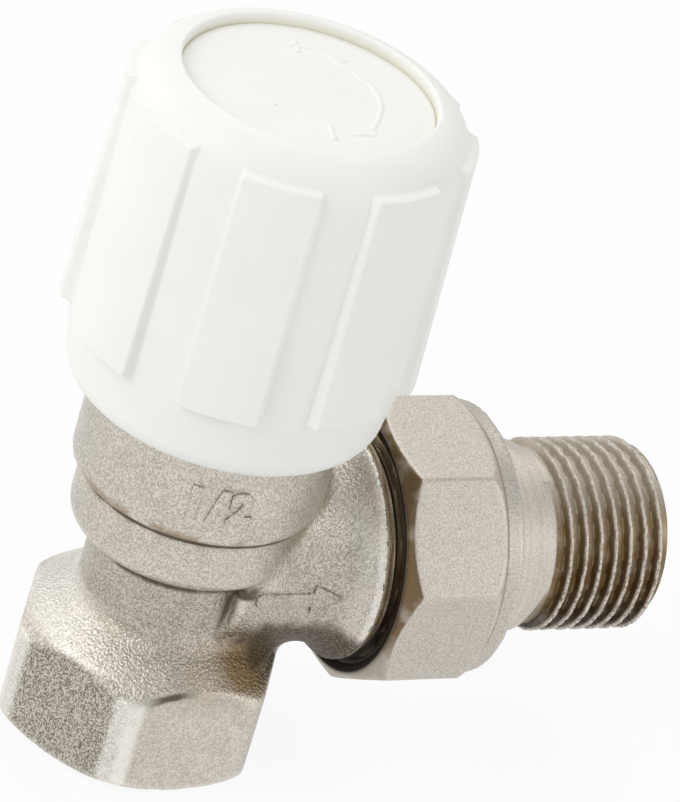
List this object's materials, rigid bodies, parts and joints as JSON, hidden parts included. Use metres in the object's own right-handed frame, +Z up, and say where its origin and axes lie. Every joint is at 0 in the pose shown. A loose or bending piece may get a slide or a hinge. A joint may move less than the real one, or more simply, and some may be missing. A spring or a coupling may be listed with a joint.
{
  "type": "radiator valve",
  "caption": "Manual angle radiator valve: plated cast body with a hexagon foot, ribbed white handwheel on a rising spindle, and a union nut with a threaded tail.",
  "frame": {"origin": "centre of the inlet's mouth, on the lower face of the hexagon foot", "axes": "+Z up the spindle to the handwheel, +X out along the union tail, +Y completes the right-handed frame"},
  "size_m": [0.0728, 0.0378, 0.0791],
  "materials": {
    "plated_casting": "cast brass, nickel plated, grainy, stained in the corners",
    "plated_nut": "pressed brass, nickel plated, fine satin grain",
    "plated_tail": "turned brass, nickel plated, brown in the thread",
    "bare_brass": "turned brass, unplated",
    "white_plastic": "moulded warm white plastic, satin",
    "seal_rubber": "black moulded rubber",
    "gasket_fibre": "brown pressed fibre and rubber sheet",
    "screw_steel": "zinc plated steel"
  },
  "bodies": {
    "valve": {"valve_body": "plated_casting", "bonnet": "bare_brass", "bonnet_seal": "seal_rubber", "gland_nut": "bare_brass", "packing_ring_lower": "seal_rubber", "packing_spacer": "bare_brass", "packing_ring_upper": "seal_rubber"},
    "closing_disc": {"jumper": "bare_brass", "jumper_clip": "screw_steel", "seat_washer": "seal_rubber", "washer_screw": "bare_brass"},
    "handwheel_set": {"spindle": "bare_brass", "handwheel": "white_plastic", "handwheel_screw": "screw_steel", "screw_washer": "screw_steel", "cover_disc": "white_plastic"},
    "tail": {"union_tail": "plated_tail", "union_gasket": "gasket_fibre"},
    "nut": {"union_nut": "plated_nut"}
  },
  "joints": [
    {"name": "spindle_lift", "type": "slide", "parent": "valve", "child": "closing_disc", "axis": [0, 0, 1], "range_m": [0, 0.00375]},
    {"name": "handwheel_turn", "type": "hinge", "parent": "closing_disc", "child": "handwheel_set", "pos_m": [0, 0, 0.06], "axis": [0, 0, 1], "range_deg": [0, 900]},
    {"name": "tail_slide", "type": "slide", "parent": "valve", "child": "tail", "axis": [1, 0, 0], "range_m": [0, 0.0045]},
    {"name": "union_nut_turn", "type": "hinge", "parent": "tail", "child": "nut", "pos_m": [0.026, 0, 0.0225], "axis": [1, 0, 0], "range_deg": [0, 1080]}
  ],
  "couplings": [
    {"joint": "spindle_lift", "follows": "handwheel_turn", "m_per_rad": 0.00023873},
    {"joint": "tail_slide", "follows": "union_nut_turn", "m_per_rad": 0.00023873}
  ]
}
